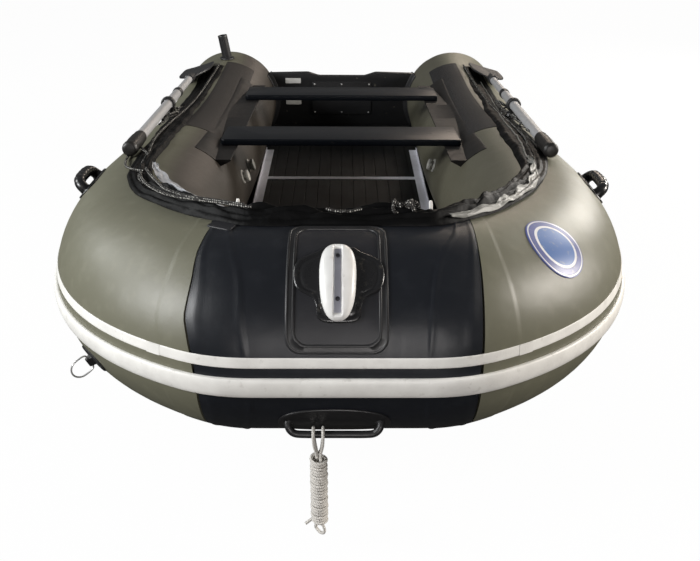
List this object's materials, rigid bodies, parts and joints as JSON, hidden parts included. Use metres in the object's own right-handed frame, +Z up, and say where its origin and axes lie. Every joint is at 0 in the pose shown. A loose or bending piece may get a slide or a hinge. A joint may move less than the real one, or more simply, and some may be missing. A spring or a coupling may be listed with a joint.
{
  "type": "inflatable boat",
  "caption": "Inflatable tender with a rope painter: air tubes in a U, slatted floor, rigid transom, sliding seats and stowed oars.",
  "frame": {"origin": "on the ground under the middle of the boat", "axes": "+Z up, -Y to the bow, +Y to the transom, -X to starboard and +X to port"},
  "size_m": [1.5904, 3.1989, 0.6959],
  "materials": {
    "olive_fabric": "coated fabric, satin",
    "black_fabric": "coated fabric, satin",
    "white_rubber": "satin",
    "black_rubber": "satin",
    "grey_patch": "matt, ribbed",
    "floor_panel": "dark, satin",
    "anodised_trim": "anodised",
    "black_board": "black, satin",
    "seat_black": "black, satin",
    "black_plastic": "moulded",
    "light_plastic": "moulded",
    "steel_wire": "polished wire",
    "flap_cloth": "woven, coated inside",
    "dark_rope": "braided",
    "white_rope": "braided",
    "badge_blue": "printed film"
  },
  "bodies": {
    "hull": {"bow_tube": "black_fabric", "starboard_tube": "olive_fabric", "port_tube": "olive_fabric", "starboard_baffle": "black_fabric", "port_baffle": "black_fabric", "starboard_tail_cap": "black_rubber", "port_tail_cap": "black_rubber", "rub_strake": "white_rubber", "stripe_tape": "white_rubber", "bottom_cloth": "black_fabric", "keel_tube": "black_fabric", "mid_floor_panel": "floor_panel", "aft_floor_panel": "floor_panel", "fore_floor_panel": "floor_panel", "fore_floor_joiner": "anodised_trim", "aft_floor_joiner": "anodised_trim", "starboard_stringer": "anodised_trim", "port_stringer": "anodised_trim", "transom_board": "black_board", "starboard_transom_holder": "black_rubber", "port_transom_holder": "black_rubber", "inner_motor_plate": "black_plastic", "outer_motor_plate": "black_plastic", "starboard_seat_rail": "black_rubber", "port_seat_rail": "black_rubber", "bow_patch": "black_fabric", "starboard_wear_patch": "grey_patch", "port_wear_patch": "grey_patch", "badge_patch": "badge_blue", "starboard_carry_handle": "black_rubber", "port_carry_handle": "black_rubber", "tow_handle": "black_rubber", "fairlead_base": "black_rubber", "bow_fairlead": "light_plastic", "d_ring_patch": "black_rubber", "starboard_fore_valve": "light_plastic", "starboard_aft_valve": "light_plastic", "port_valve": "light_plastic", "rod_holder": "black_plastic", "spray_flap": "flap_cloth", "lacing_rope": "dark_rope", "painter_rope": "white_rope", "starboard_oarlock_base": "black_rubber", "port_oarlock_base": "black_rubber"},
    "fore_seat": {"fore_seat": "seat_black"},
    "aft_seat": {"aft_seat": "seat_black"},
    "starboard_lock": {"starboard_oarlock": "black_plastic"},
    "starboard_oar": {"starboard_oar_shaft": "anodised_trim", "starboard_oar_grip": "black_rubber", "starboard_oar_blade": "black_plastic"},
    "port_lock": {"port_oarlock": "black_plastic"},
    "port_oar": {"port_oar_shaft": "anodised_trim", "port_oar_grip": "black_rubber", "port_oar_blade": "black_plastic"},
    "d_ring": {"d_ring": "steel_wire"},
    "drain_plug": {"drain_plug": "black_plastic"},
    "starboard_fore_valve_cap": {"starboard_fore_valve_cap": "light_plastic"},
    "starboard_aft_valve_cap": {"starboard_aft_valve_cap": "light_plastic"},
    "port_valve_cap": {"port_valve_cap": "light_plastic"}
  },
  "joints": [
    {"name": "fore_seat_slide", "type": "slide", "parent": "hull", "child": "fore_seat", "axis": [0, 0.9969, -0.0786], "range_m": [-0.05, 0.3]},
    {"name": "aft_seat_slide", "type": "slide", "parent": "hull", "child": "aft_seat", "axis": [0, 0.9969, -0.0786], "range_m": [-0.25, 0.12]},
    {"name": "starboard_lock_swivel", "type": "hinge", "parent": "hull", "child": "starboard_lock", "pos_m": [-0.63677, 0.046, 0.53762], "axis": [-0.2784, 0.0862, 0.9566], "range_deg": [0, 95]},
    {"name": "starboard_oar_slide", "type": "slide", "parent": "starboard_lock", "child": "starboard_oar", "axis": [-0.0424, 0.9939, -0.1019], "range_m": [-0.02, 0.05]},
    {"name": "port_lock_swivel", "type": "hinge", "parent": "hull", "child": "port_lock", "pos_m": [0.63677, 0.046, 0.53762], "axis": [0.2784, 0.0862, 0.9566], "range_deg": [-95, 0]},
    {"name": "port_oar_slide", "type": "slide", "parent": "port_lock", "child": "port_oar", "axis": [0.0424, 0.9939, -0.1019], "range_m": [-0.02, 0.05]},
    {"name": "d_ring_swing", "type": "hinge", "parent": "hull", "child": "d_ring", "pos_m": [-0.5689, -1.3459, 0.3472], "axis": [-0.3201, -0.2069, 0.9245], "range_deg": [-75, 75]},
    {"name": "starboard_fore_valve_cap_turn", "type": "hinge", "parent": "hull", "child": "starboard_fore_valve_cap", "pos_m": [-0.3328, -0.2419, 0.3671], "axis": [0.9659, 0.0346, 0.2565], "range_deg": [0, 90]},
    {"name": "starboard_aft_valve_cap_turn", "type": "hinge", "parent": "hull", "child": "starboard_aft_valve_cap", "pos_m": [-0.3328, -0.0721, 0.3442], "axis": [0.9659, 0.0336, 0.2566], "range_deg": [0, 90]},
    {"name": "port_valve_cap_turn", "type": "hinge", "parent": "hull", "child": "port_valve_cap", "pos_m": [0.3328, -0.0601, 0.3426], "axis": [-0.9659, 0.0335, 0.2566], "range_deg": [0, 90]},
    {"name": "drain_plug_turn", "type": "hinge", "parent": "hull", "child": "drain_plug", "pos_m": [-0.2, 1.2243, 0.075], "axis": [0, 1, 0], "range_deg": [0, 90]}
  ]
}
